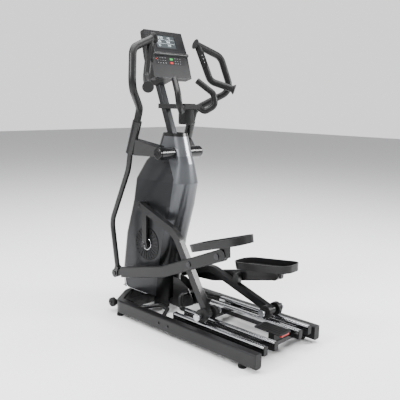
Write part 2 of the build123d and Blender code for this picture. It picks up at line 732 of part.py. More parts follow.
# ---------------------------------------------------------------- foot arms and pedals
arm_mid = arm_x + arm_w / 2
arm_wall = 2.5
eye_w = 22                  # eye of the foot arm inside the swing arm's fork
eye_r = 28
fork_t = 5
fork_reach = 45              # from the fork's pin to the end of the swing arm's tube
arm_start = 66              # from the fork's pin to the front end of the foot arm's tube
web_h = 36
joint_pin_r = 8
cap_r = 17
cap_t_out = 5
for side, s in sides:
    joint = stances[side]["joint"]
    pivot = stances[side]["pivot"]
    elbow = along(joint, pivot, arm_bend_s, arm_bend_h)
    tail = along(joint, pivot, arm_end_s, arm_end_h)
    pedal_bolt = along(joint, pivot, cap_s, cap_h)
    front = along(joint, pivot, arm_start, 0)

    # foot arm: bent rectangular tube from the fork of the swing arm to the pedal
    with BuildPart() as foot_arm:
        with BuildLine() as arm_line:
            FilletPolyline(at(s, arm_mid, front), at(s, arm_mid, elbow), at(s, arm_mid, tail),
                           radius=180)
        with BuildSketch(Plane(origin=arm_line.line @ 0, x_dir=(1, 0, 0),
                               z_dir=arm_line.line % 0)):
            RectangleRounded(arm_w, arm_depth, 7)
            RectangleRounded(arm_w - 2 * arm_wall, arm_depth - 2 * arm_wall, 4.5,
                             mode=Mode.SUBTRACT)
        sweep()
        with BuildSketch(Plane.YZ.offset(low_x(s, arm_x, arm_w))):
            with Locations(tail):
                Circle(arm_depth / 2 + 0.6)
        extrude(amount=arm_w)
        with BuildSketch(Plane.YZ.offset(low_x(s, arm_mid - eye_w / 2, eye_w))):
            with Locations(joint):
                Circle(eye_r)
            with BuildLine():
                Polyline(joint, along(joint, pivot, arm_start + 6, 0))
            trace(line_width=web_h)
        extrude(amount=eye_w)
        with BuildSketch(Plane(origin=arm_line.line @ 0, x_dir=(1, 0, 0),
                               z_dir=arm_line.line % 0)):
            RectangleRounded(arm_w, arm_depth, 7)
        extrude(amount=4)
        with BuildSketch(Plane.YZ.offset(low_x(s, arm_x - 2, arm_w + 4))):
            with Locations(joint):
                Circle(joint_pin_r + running_gap)
        extrude(amount=arm_w + 4, mode=Mode.SUBTRACT)
    foot_arm.part.label = f"{side}_foot_arm"
    export_step(foot_arm.part, f"parts/{side}_foot_arm.step")

    # round-headed bolts: one through the leg pivot, one that holds the pedal
    with BuildPart() as arm_bolts:
        for place in (pivot, pedal_bolt):
            with BuildSketch(Plane.YZ.offset(low_x(s, arm_x + arm_w, cap_t_out))):
                with Locations(place):
                    Circle(cap_r)
            extrude(amount=cap_t_out)
    arm_bolts.part.label = f"{side}_arm_bolts"
    export_step(arm_bolts.part, f"parts/{side}_arm_bolts.step")

    # pedal: shallow tray with a raised rim on a bracket that straddles the foot arm's top
    base = along(joint, pivot, pedal_s[0], pedal_h)
    rear = along(joint, pivot, pedal_s[1], pedal_h)
    direction = Vector(0, rear[0] - base[0], rear[1] - base[1]).normalized()
    tray_len = pedal_s[1] - pedal_s[0]
    tray_w = pedal_x[1] - pedal_x[0]
    tray_mid_x = (pedal_x[0] + pedal_x[1]) / 2
    middle = along(joint, pivot, (pedal_s[0] + pedal_s[1]) / 2, pedal_h)
    tray_plane = Plane(origin=at(s, tray_mid_x, middle), x_dir=(1, 0, 0),
                       z_dir=Vector(1, 0, 0).cross(-direction))
    with BuildPart() as pedal:
        with BuildSketch(tray_plane):
            RectangleRounded(tray_w, tray_len, 62)
        extrude(amount=pedal_rim, taper=-6)
        with BuildSketch(tray_plane.offset(pedal_wall)):
            RectangleRounded(tray_w - 2 * pedal_wall, tray_len - 2 * pedal_wall, 62 - pedal_wall)
        extrude(amount=pedal_rim, taper=-6, mode=Mode.SUBTRACT)
        with BuildSketch(Plane.YZ.offset(low_x(s, arm_x + 4, arm_w - 8))):
            with BuildLine():
                Polyline(along(joint, pivot, cap_s - 60, pedal_h + 1),
                         along(joint, pivot, cap_s + 90, pedal_h + 1),
                         along(joint, pivot, arm_end_s + arm_depth / 2 + 14, 8),
                         along(joint, pivot, arm_end_s + arm_depth / 2 + 3.5, 8),
                         along(joint, pivot, arm_end_s + arm_depth / 2 + 3, arm_end_h + 30),
                         along(joint, pivot, arm_end_s - 4, arm_end_h + arm_depth / 2 + 3),
                         close=True)
            make_face()
        extrude(amount=arm_w - 8)
    pedal.part.label = f"{side}_pedal"
    export_step(pedal.part, f"parts/{side}_pedal.step")

# ---------------------------------------------------------------- swing arms and hand grips
sleeve_x = 235
# points of the arm in its own frame: (x, y, z) from the hub, with the lower joint straight down
sleeve_route = ((sleeve_x, 172, -85), (sleeve_x, 193, 124))
lower_route = ((arm_mid, 8, -swing_length + fork_reach), (212, 172, -600), (228, 152, -190),
               sleeve_route[0], (sleeve_x, 177, -35))
grip_route = ((sleeve_x, 178, -25), (240, 199, 205), (428, 108, 379), (382, 243, 555), (194, 316, 601))
inner_grip_route = ((212, 309, 594), (281, 176, 411), (374, 43, 412))
bracket_route = ((118, 24, 0), (226, 160, -34))
bracket_hub_h = 50
bracket_sleeve_h = 104
flare_r = 33
flare_t = 14
pod_from_top = 88
pod_len = 104
pod_w = 27
pod_depth = 5.5
key_len = 70
key_w = 13
key_gap = 0.4
key_travel = 1


def on_arm(side, s, x, y, z):
    """A point of the swing arm's own frame, placed on side s at rest."""
    joint = stances[side]["joint"]
    angle = math.atan2(joint[0] - hub_y, hub_z - joint[1])
    placed = turn((y, z), angle)
    return Vector(s * x, hub_y + placed[0], hub_z + placed[1])


for side, s in sides:
    joint = stances[side]["joint"]
    up = (on_arm(side, s, 0, 0, 1) - Vector(0, hub_y, hub_z)).normalized()
    lower = [on_arm(side, s, *p) for p in lower_route]
    sleeve_ends = [on_arm(side, s, *p) for p in sleeve_route]
    sleeve_dir = (sleeve_ends[1] - sleeve_ends[0]).normalized()
    sleeve_len = (sleeve_ends[1] - sleeve_ends[0]).length
    bracket_ends = [on_arm(side, s, *p) for p in bracket_route]
    bracket_dir = (bracket_ends[1] - bracket_ends[0]).normalized()
    bracket_side = bracket_dir.cross(up).normalized()

    # swing arm: hub barrel, tapered bracket, sleeve, bent lower tube and fork, welded together
    with BuildPart() as swing_arm:
        with BuildLine() as lower_line:
            FilletPolyline(*lower, radius=(150, 300, 90))
        with BuildSketch(Plane(origin=lower_line.line @ 0, z_dir=lower_line.line % 0)):
            Circle(swing_tube_r)
            Circle(swing_tube_r - tube_wall, mode=Mode.SUBTRACT)
        sweep()
        with BuildSketch(Plane(origin=sleeve_ends[0], z_dir=sleeve_dir)):
            Circle(sleeve_r)
        extrude(amount=sleeve_len)
        with BuildSketch(Plane.YZ.offset(low_x(s, hub_inner_x, hub_outer_x - hub_inner_x))):
            with Locations((hub_y, hub_z)):
                Circle(hub_r)
        extrude(amount=hub_outer_x - hub_inner_x)
        with BuildSketch(Plane(origin=bracket_ends[0], x_dir=bracket_side, z_dir=bracket_dir)):
            Rectangle(70, bracket_hub_h)
        with BuildSketch(Plane(origin=bracket_ends[1], x_dir=bracket_side, z_dir=bracket_dir)):
            Rectangle(34, bracket_sleeve_h)
        loft()
        with BuildSketch(Plane.YZ.offset(low_x(s, hub_inner_x - 4, hub_outer_x - hub_inner_x + 8))):
            with Locations((hub_y, hub_z)):
                Circle(axle_r + 2.5 + running_gap)
        extrude(amount=hub_outer_x - hub_inner_x + 8, mode=Mode.SUBTRACT)
        # socket for the hand grip's tube
        socket_base = on_arm(side, s, *grip_route[0])
        socket_dir = (on_arm(side, s, *grip_route[1]) - socket_base).normalized()
        with BuildSketch(Plane(origin=socket_base, z_dir=socket_dir)):
            Circle(grip_r)
        extrude(amount=sleeve_len, mode=Mode.SUBTRACT)
        # fork
        for x in (arm_x, arm_x + arm_w - fork_t):
            with BuildSketch(Plane(origin=(low_x(s, x, fork_t), joint[0], joint[1]),
                                   x_dir=up, z_dir=(1, 0, 0))):
                Circle(eye_r)
                with Locations((fork_reach / 2, 0)):
                    Rectangle(fork_reach, 2 * swing_tube_r)
            extrude(amount=fork_t)
        with BuildSketch(Plane(origin=at(s, arm_mid, joint) + up * fork_reach,
                               x_dir=(1, 0, 0), z_dir=up)):
            Rectangle(arm_w, 2 * swing_tube_r)
        extrude(amount=12)
        with BuildSketch(Plane.YZ.offset(low_x(s, arm_x, arm_w + 5))):
            with Locations(joint):
                Circle(joint_pin_r)
        extrude(amount=arm_w + 5)
        with BuildSketch(Plane.YZ.offset(low_x(s, arm_x + arm_w, 5))):
            with Locations(joint):
                Circle(joint_pin_r + 6)
        extrude(amount=5)
    swing_arm.part.label = f"{side}_swing_arm"
    export_step(swing_arm.part, f"parts/{side}_swing_arm.step")

    inner_start = on_arm(side, s, *inner_grip_route[0])
    inner_dir = (on_arm(side, s, *inner_grip_route[1]) - inner_start).normalized()
    facing = Vector(-s * 0.6, -0.8, 0)
    pod_normal = (facing - inner_dir * facing.dot(inner_dir)).normalized()
    pod_plane = Plane(origin=inner_start + inner_dir * pod_from_top, x_dir=inner_dir, z_dir=pod_normal)

    # hand grip: outer tube bent out, up and over, with an inner grip, both ended by flared caps
    with BuildPart() as hand_grip:
        with BuildLine() as outer_line:
            FilletPolyline(*[on_arm(side, s, *p) for p in grip_route], radius=(70, 75, 70))
        with BuildSketch(Plane(origin=outer_line.line @ 0, z_dir=outer_line.line % 0)):
            Circle(grip_r)
        sweep()
        with BuildLine() as inner_line:
            FilletPolyline(*[on_arm(side, s, *p) for p in inner_grip_route], radius=60)
        with BuildSketch(Plane(origin=inner_line.line @ 0, z_dir=inner_line.line % 0)):
            Circle(grip_r)
        sweep()
        for line in (outer_line.line, inner_line.line):
            with BuildSketch(Plane(origin=line @ 1, z_dir=line % 1).offset(-flare_t)):
                Circle(grip_r)
            with BuildSketch(Plane(origin=line @ 1, z_dir=line % 1)):
                Circle(flare_r)
            loft()
            with BuildSketch(Plane(origin=line @ 1, z_dir=line % 1)):
                Circle(flare_r)
            extrude(amount=4)
        # pod for the keys on the rear side of the inner grip, with a pocket in its face
        with BuildSketch(pod_plane.offset(grip_r - 10)):
            SlotOverall(pod_len, pod_w)
        extrude(amount=16)
        with BuildSketch(pod_plane.offset(grip_r + 6)):
            SlotOverall(key_len + 2 * key_gap, key_w + 2 * key_gap)
        extrude(amount=-pod_depth, mode=Mode.SUBTRACT)
    hand_grip.part.label = f"{side}_hand_grip"
    export_step(hand_grip.part, f"parts/{side}_hand_grip.step")

    # pod keys: one rubber rocker with three raised tips
    with BuildPart() as pod_keys:
        with BuildSketch(pod_plane.offset(grip_r + 6 - pod_depth + key_travel + 0.3)):
            SlotOverall(key_len, key_w)
        extrude(amount=pod_depth - key_travel)
        with BuildSketch(pod_plane.offset(grip_r + 6)):
            with GridLocations(key_len / 3, 1, 3, 1):
                Circle(4.5)
        extrude(amount=1.2)
    pod_keys.part.label = f"{side}_pod_keys"
    export_step(pod_keys.part, f"parts/{side}_pod_keys.step")

# ---------------------------------------------------------------- handlebar and bottle holder
bar_r = 19
bar_route = ((66, 129, 1345), (100, 104, 1319), (155, 67, 1357), (153, 83, 1429), (95, 171, 1507))
bracket_z = 1333
bracket_h = 30
cup_y = 165
cup_r = 47.5
cup_wall = 3
cup_depth = 122
with BuildPart() as fixed_bars:
    for side, s in sides:
        with BuildLine() as bar_line:
            FilletPolyline(*[(s * x, y, z) for x, y, z in bar_route], radius=(26, 42, 40))
        with BuildSketch(Plane(origin=bar_line.line @ 0, z_dir=bar_line.line % 0)):
            Circle(bar_r)
        sweep()
fixed_bars.part.label = "fixed_bars"
export_step(fixed_bars.part, "parts/fixed_bars.step")

# bracket: socket on the mast and a ring for the bottle holder
mast_y_at_bracket = mast_foot[0] + (bracket_z + bracket_h / 2 - mast_foot[1]) * mast_uy / mast_uz
with BuildPart() as bar_bracket:
    with BuildSketch(Plane.XY.offset(bracket_z)) as bracket_plan:
        with Locations((0, cup_y)):
            Circle(cup_r + 9)
        with Locations((0, cup_y - 36)):
            RectangleRounded(156, 42, 14)
        with Locations((0, (cup_y + mast_y_at_bracket) / 2)):
            Rectangle(66, mast_y_at_bracket - cup_y)
        with Locations((0, mast_y_at_bracket + 4)):
            RectangleRounded(66, 66, 10)
    extrude(amount=bracket_h)
    with BuildSketch(Plane.XY.offset(bracket_z - 5)):
        with Locations((0, cup_y)):
            Circle(cup_r)
    extrude(amount=bracket_h + 10, mode=Mode.SUBTRACT)
    with BuildSketch(Plane(origin=mast_base, x_dir=(1, 0, 0), z_dir=mast_dir)):
        RectangleRounded(mast_w, mast_d, 6)
    extrude(amount=mast_run, mode=Mode.SUBTRACT)
    add(fixed_bars.part, mode=Mode.SUBTRACT)
bar_bracket.part.label = "bar_bracket"
export_step(bar_bracket.part, "parts/bar_bracket.step")

# bottle holder: moulded cup hung in the ring by its lip
with BuildPart() as bottle_holder:
    with Locations((0, cup_y, bracket_z + bracket_h)):
        Cylinder(cup_r, cup_depth, align=(Align.CENTER, Align.CENTER, Align.MAX))
        Cylinder(cup_r + 6, 3, align=(Align.CENTER, Align.CENTER, Align.MIN))
    fillet(bottle_holder.faces().sort_by(Axis.Z)[0].edges(), 10)
    with Locations((0, cup_y, bracket_z + bracket_h + 3)):
        Cylinder(cup_r - cup_wall, cup_depth, align=(Align.CENTER, Align.CENTER, Align.MAX),
                 mode=Mode.SUBTRACT)
bottle_holder.part.label = "bottle_holder"
export_step(bottle_holder.part, "parts/bottle_holder.step")

# ---------------------------------------------------------------- console
bezel_t = 6
console_wall = 3
ledge_r = 11
screen_w = 164
screen_h = 86
pad_w = 250
pad_h = 58
pad_t = 1.5
console_key_w = 24
console_key_h = 12


def face_plane(low, high, share):
    """Plane on a stretch of the console's face: x to the right, y up the face, z to the user."""
    rise = Vector(0, high[0] - low[0], high[1] - low[1]).normalized()
    centre = (low[0] + share * (high[0] - low[0]), low[1] + share * (high[1] - low[1]))
    return Plane(origin=(0, *centre), x_dir=(1, 0, 0), z_dir=Vector(1, 0, 0).cross(rise))


def behind(point, plane, depth):
    """The (y, z) point depth behind a point on a face plane."""
    return (point[0] - plane.z_dir.Y * depth, point[1] - plane.z_dir.Z * depth)


pad_plane = face_plane(console_foot, console_ledge, 0.76)
screen_plane = face_plane(console_ledge, console_top, 0.55)
with BuildPart() as console_back:
    with BuildSketch(Plane.YZ.offset(-console_w / 2)):
        with BuildLine():
            Polyline(behind(console_foot, pad_plane, bezel_t), behind(console_ledge, screen_plane, bezel_t),
                     behind(console_top, screen_plane, bezel_t), behind(console_top, screen_plane, 34),
                     behind(console_ledge, screen_plane, 64), behind(console_foot, pad_plane, 58),
                     close=True)
        make_face()
    extrude(amount=console_w)
    fillet(console_back.edges().filter_by(Axis.X).sort_by(Axis.Y)[-3:], 9)
    with BuildSketch(Plane.YZ.offset(-console_w / 2 + console_wall)):
        with BuildLine():
            Polyline(behind(console_foot, pad_plane, bezel_t - 1),
                     behind(console_ledge, screen_plane, bezel_t - 1),
                     behind(console_top, screen_plane, bezel_t - 1), behind(console_top, screen_plane, 26),
                     behind(console_ledge, screen_plane, 58), behind(console_foot, pad_plane, 50),
                     close=True)
        make_face()
        offset(amount=-console_wall, kind=Kind.INTERSECTION, mode=Mode.REPLACE)
    extrude(amount=console_w - 2 * console_wall, mode=Mode.SUBTRACT)
    # neck that clamps round the top of the mast
    with BuildSketch(Plane.YZ.offset(-mast_w / 2 - 8)):
        with BuildLine():
            Polyline(behind(console_ledge, pad_plane, 60), behind(console_foot, pad_plane, 57),
                     (mast_head[0] - 8, mast_head[1] - 52), (mast_head[0] + 32, mast_head[1] - 40),
                     (mast_head[0] + 44, mast_head[1] + 30), close=True)
        make_face()
    extrude(amount=mast_w + 16)
    with BuildSketch(Plane(origin=mast_base, x_dir=(1, 0, 0), z_dir=mast_dir)):
        RectangleRounded(mast_w, mast_d, 6)
    extrude(amount=mast_run, mode=Mode.SUBTRACT)
console_back.part.label = "console_back"
export_step(console_back.part, "parts/console_back.step")

# console front: bezel with the media ledge, a screen window and pockets for the keys
key_places = (("start_key", 8, 6), ("stop_key", 8, -17))
with BuildPart() as console_front:
    with BuildSketch(Plane.YZ.offset(-console_w / 2)):
        with BuildLine():
            Polyline(console_foot, console_ledge, console_top, behind(console_top, screen_plane, bezel_t),
                     behind(console_ledge, screen_plane, bezel_t), behind(console_foot, pad_plane, bezel_t),
                     close=True)
        make_face()
    extrude(amount=console_w)
    with Locations((0, console_ledge[0] - 7, console_ledge[1] + 2)):
        Cylinder(ledge_r, console_w - 14, rotation=(0, 90, 0))
    with BuildSketch(Plane.YZ.offset(-console_w / 2)):
        with BuildLine():
            Polyline(behind(console_ledge, screen_plane, bezel_t), behind(console_ledge, screen_plane, 40),
                     behind(console_ledge, pad_plane, 40), behind(console_ledge, pad_plane, bezel_t),
                     close=True)
        make_face()
    extrude(amount=console_w, mode=Mode.SUBTRACT)
    with BuildSketch(screen_plane):
        Rectangle(screen_w, screen_h)
    extrude(amount=-bezel_t - 1, mode=Mode.SUBTRACT)
    with BuildSketch(pad_plane):
        Rectangle(pad_w, pad_h)
    extrude(amount=-pad_t, mode=Mode.SUBTRACT)
    with BuildSketch(pad_plane.offset(-pad_t)):
        for name, x, y in key_places:
            with Locations((x, y)):
                RectangleRounded(console_key_w + 2 * key_gap, console_key_h + 2 * key_gap, 3)
    extrude(amount=-3.5, mode=Mode.SUBTRACT)
console_front.part.label = "console_front"
export_step(console_front.part, "parts/console_front.step")

with BuildPart() as console_screen:
    with BuildSketch(screen_plane.offset(-1.5)):
        Rectangle(screen_w, screen_h)
    extrude(amount=-4)
console_screen.part.label = "console_screen"
export_step(console_screen.part, "parts/console_screen.step")

with BuildPart() as keypad:
    with BuildSketch(pad_plane.offset(-pad_t)):
        Rectangle(pad_w, pad_h)
        for name, x, y in key_places:
            with Locations((x, y)):
                RectangleRounded(console_key_w + 2 * key_gap, console_key_h + 2 * key_gap, 3,
                                 mode=Mode.SUBTRACT)
    extrude(amount=pad_t)
keypad.part.label = "keypad"
export_step(keypad.part, "parts/keypad.step")

for name, x, y in key_places:
    with BuildPart() as console_key:
        with BuildSketch(pad_plane.offset(1.2)):
            with Locations((x, y)):
                RectangleRounded(console_key_w, console_key_h, 2.5)
        extrude(amount=-1.2 - pad_t - 3.5 + key_travel + 0.3)
    console_key.part.label = name
    export_step(console_key.part, f"parts/{name}.step")

# ---------------------------------------------------------------- shroud
shroud_inlay = 0.25         # half the seam between two shroud pieces
front_band = 42             # width of the black strip along the front
collar_z = 1165             # lower edge of the collar round the mast
front_bottom_z = 118
spine_bottom_z = 50
spine_front_y = 335         # front end of the spine below the side shells
# (y, z) seam between the side shells and the spine, from the top down
spine_seam = ((255, 1046), (245, 1010), (180, 905), (181, 866), (200, 710), (262, 500),
              (306, 250), (322, 122))


def shroud_solid(inset, spread):
    """The shroud's closed outer shape, inset all round and spread past both ends."""
    with BuildPart() as shape:
        for i, (z, rear, front, half) in enumerate(shroud_levels):
            shift = -spread if i == 0 else (spread if i == len(shroud_levels) - 1 else 0)
            with BuildSketch(Plane.XY.offset(z + shift)) as section:
                with Locations((0, (rear + front) / 2)):
                    Rectangle(2 * (half - inset), front - rear - 2 * inset)
                fillet(section.vertices().group_by(Axis.Y)[0], 0.9 * half - inset)
                fillet(section.vertices().group_by(Axis.Y)[-1], 38 - inset)
        loft(ruled=True)
    return shape.part


def strip_point(z):
    """The (y, z) point on the rear edge of the front strip at height z."""
    for low, high in zip(shroud_levels, shroud_levels[1:]):
        if low[0] <= z <= high[0]:
            share = (z - low[0]) / (high[0] - low[0])
            return (low[2] + share * (high[2] - low[2]) - front_band, z)


shroud_shell = shroud_solid(0, 0) - shroud_solid(shroud_wall, 1)
strip_low = [strip_point(level[0]) for level in shroud_levels[1:6]]
strip_seam = strip_point(cap_seam_z)
strip_high = [strip_point(shroud_levels[6][0]), strip_point(collar_z)]

# front strip and the collar round the mast, with a floor plate for the power inlet
with BuildPart() as shroud_front:
    with BuildSketch(Plane.YZ.offset(-200)):
        with BuildLine():
            Polyline((strip_low[0][0] + shroud_inlay, front_bottom_z),
                     *[(y + shroud_inlay, z) for y, z in strip_low + strip_high],
                     (100, collar_z), (100, 1200), (800, 1200), (800, front_bottom_z), close=True)
        make_face()
    extrude(amount=400)
    add(shroud_shell, mode=Mode.INTERSECT)
    with BuildSketch(Plane.XY.offset(front_bottom_z)):
        with Locations((0, 622)):
            Rectangle(196, 80)
        with Locations((40, 612)):
            Circle(8.05, mode=Mode.SUBTRACT)
    extrude(amount=4)
shroud_front.part.label = "shroud_front"
export_step(shroud_front.part, "parts/shroud_front.step")

# upper cap round the rear, from the seam to the collar
with BuildPart() as shroud_cap:
    with BuildSketch(Plane.YZ.offset(-200)):
        with BuildLine():
            Polyline((60, cap_seam_z + shroud_inlay), (60, collar_z - shroud_inlay),
                     (strip_high[1][0] - shroud_inlay, collar_z - shroud_inlay),
                     (strip_high[0][0] - shroud_inlay, strip_high[0][1]),
                     (strip_seam[0] - shroud_inlay, cap_seam_z + shroud_inlay), close=True)
        make_face()
    extrude(amount=400)
    add(shroud_shell, mode=Mode.INTERSECT)
    with Locations((0, hub_y, hub_z)):
        Cylinder(27, 400, rotation=(0, 90, 0), mode=Mode.SUBTRACT)
shroud_cap.part.label = "shroud_cap"
export_step(shroud_cap.part, "parts/shroud_cap.step")

# rear spine, down to the keel
with BuildPart() as shroud_spine:
    with BuildSketch(Plane.YZ.offset(-200)):
        with BuildLine():
            Polyline((0, cap_seam_z - shroud_inlay),
                     *[(y - shroud_inlay, min(z, cap_seam_z - shroud_inlay)) for y, z in spine_seam],
                     (spine_front_y, 110), (spine_front_y, spine_bottom_z), (0, spine_bottom_z),
                     close=True)
        make_face()
    extrude(amount=400)
    add(shroud_shell, mode=Mode.INTERSECT)
    with Locations((0, hub_y, hub_z)):
        Cylinder(27, 400, rotation=(0, 90, 0), mode=Mode.SUBTRACT)
    with Locations((0, keel_rear_y, keel_z + keel_h / 2)):
        Box(keel_w, 300, 100, align=(Align.CENTER, Align.CENTER, Align.MAX), mode=Mode.SUBTRACT)
shroud_spine.part.label = "shroud_spine"
export_step(shroud_spine.part, "parts/shroud_spine.step")

for side, s in sides:
    # side shell with a hole for the crank's boss and two screw seats
    with BuildPart() as side_shell:
        with BuildSketch(Plane.YZ.offset(s * 40)) as shell_outline:
            with BuildLine():
                Polyline(*[(y + shroud_inlay, min(z, cap_seam_z - shroud_inlay))
                           for y, z in spine_seam],
                         (strip_low[0][0] - shroud_inlay, shroud_skirt_z),
                         *[(y - shroud_inlay, z) for y, z in strip_low],
                         (strip_seam[0] - shroud_inlay, cap_seam_z - shroud_inlay), close=True)
            make_face()
            fillet(shell_outline.vertices().group_by(Axis.Y)[0].sort_by(Axis.X)[-1:], 60)
        extrude(amount=s * 160)
        add(shroud_shell, mode=Mode.INTERSECT)
        with Locations((s * 108, crank_y, crank_z)):
            Cylinder(24, 60, rotation=(0, 90, 0), mode=Mode.SUBTRACT)
    side_shell.part.label = f"shroud_{side}"
    export_step(side_shell.part, f"parts/shroud_{side}.step")

# vent discs: two slotted rings round the crank's bosses
vent_r = 112
vent_t = 3
vent_slots = 24
with BuildPart() as vent_discs:
    for side, s in sides:
        with BuildSketch(Plane.YZ.offset(low_x(s, 108, vent_t))):
            with Locations((crank_y, crank_z)):
                Circle(vent_r)
                Circle(30, mode=Mode.SUBTRACT)
                with PolarLocations(76, vent_slots):
                    Rectangle(56, 8, mode=Mode.SUBTRACT)
        extrude(amount=vent_t)
vent_discs.part.label = "vent_discs"
export_step(vent_discs.part, "parts/vent_discs.step")

# bolt heads: mast socket, beam seams, rail ends and the clamp of the upright
head_r = 8
head_t = 5
with BuildPart() as bolts:
    for side, s in sides:
        for y in (seam_y - 40, seam_y + 40):
            with Locations((s * (base_width / 2 + head_t / 2), y, beam_mid_z)):
                Cylinder(head_r, head_t, rotation=(0, 90, 0))
        with Locations((s * 16, post_foot_y + 34, keel_z + keel_h / 2 + 8)):
            Cylinder(6, head_t, align=(Align.CENTER, Align.CENTER, Align.MIN))
bolts.part.label = "bolts"
export_step(bolts.part, "parts/bolts.step")
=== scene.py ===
import json
import math
import bpy
from mathutils import Matrix, Vector


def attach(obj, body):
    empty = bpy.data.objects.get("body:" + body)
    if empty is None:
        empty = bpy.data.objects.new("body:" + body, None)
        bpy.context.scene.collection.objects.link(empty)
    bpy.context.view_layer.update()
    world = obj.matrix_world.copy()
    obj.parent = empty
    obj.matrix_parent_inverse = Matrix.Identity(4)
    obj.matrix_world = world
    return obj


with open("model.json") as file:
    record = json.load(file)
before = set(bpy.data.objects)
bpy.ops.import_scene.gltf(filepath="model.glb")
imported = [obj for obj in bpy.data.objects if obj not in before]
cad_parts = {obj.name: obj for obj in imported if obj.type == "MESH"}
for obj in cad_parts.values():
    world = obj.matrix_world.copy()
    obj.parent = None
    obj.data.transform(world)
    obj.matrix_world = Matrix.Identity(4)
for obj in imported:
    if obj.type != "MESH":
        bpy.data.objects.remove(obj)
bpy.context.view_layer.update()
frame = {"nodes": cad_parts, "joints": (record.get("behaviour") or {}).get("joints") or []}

# ---------------------------------------------------------------- studio
# A pale floor, a sky that is bright near the horizon and dim overhead, three soft lamps, and a
# camera at eye height behind the machine's left side.
bpy.ops.object.select_all(action="DESELECT")
bpy.ops.mesh.primitive_plane_add(size=40, location=(0, 0, 0))
studio_floor = bpy.context.object
studio_floor.name = "studio_floor"
floor_paint = bpy.data.materials.new("floor_paint")
floor_paint.use_nodes = True
floor_shader = floor_paint.node_tree.nodes["Principled BSDF"]
floor_shader.inputs["Base Color"].default_value = (0.93, 0.93, 0.93, 1)
floor_shader.inputs["Roughness"].default_value = 0.55
floor_shader.inputs["Specular IOR Level"].default_value = 0.25
studio_floor.data.materials.append(floor_paint)

studio_world = bpy.data.worlds.new("studio_world")
bpy.context.scene.world = studio_world
studio_world.use_nodes = True
sky_tree = studio_world.node_tree
sky_place = sky_tree.nodes.new("ShaderNodeTexCoord")
sky_axes = sky_tree.nodes.new("ShaderNodeSeparateXYZ")
sky_blend = sky_tree.nodes.new("ShaderNodeValToRGB")
sky_blend.color_ramp.elements[0].position = 0.22
sky_blend.color_ramp.elements[0].color = (1, 1, 1, 1)
sky_blend.color_ramp.elements[1].position = 0.55
sky_blend.color_ramp.elements[1].color = (0.22, 0.22, 0.23, 1)
sky_tree.links.new(sky_place.outputs["Generated"], sky_axes.inputs["Vector"])
sky_tree.links.new(sky_axes.outputs["Z"], sky_blend.inputs["Fac"])
sky_tree.links.new(sky_blend.outputs["Color"], sky_tree.nodes["Background"].inputs["Color"])
sky_tree.nodes["Background"].inputs["Strength"].default_value = 1.35

lamps = (("key_light", (-3.2, 0.9, 3.0), (0, 0, 0.9), 1.1, 170),
         ("rim_light", (2.6, -2.4, 2.4), (0, 0, 0.9), 1.0, 150),
         ("top_light", (0, 0, 5.5), (0, 0, 0), 6, 900))
for lamp, place, aim, width, power in lamps:
    bpy.ops.object.light_add(type="AREA", location=place)
    light = bpy.context.object
    light.name = lamp
    light.data.size = width
    light.data.energy = power
    light.rotation_euler = (Vector(aim) - Vector(place)).to_track_quat("-Z", "Y").to_euler()

camera_place = (-2.4858, -2.3432, 1.3846)
camera_turn, camera_dip, camera_roll = -46.267, 9.855, 1.067      # degrees
bpy.ops.object.camera_add()
camera = bpy.context.object
camera.name = "camera"
camera.matrix_world = (Matrix.Translation(camera_place)
                       @ Matrix.Rotation(math.radians(camera_turn), 4, "Z")
                       @ Matrix.Rotation(math.radians(90 - camera_dip), 4, "X")
                       @ Matrix.Rotation(math.radians(camera_roll), 4, "Z"))
camera.data.lens = 51.39
camera.data.sensor_width = 36
camera.data.clip_end = 100
bpy.context.scene.camera = camera


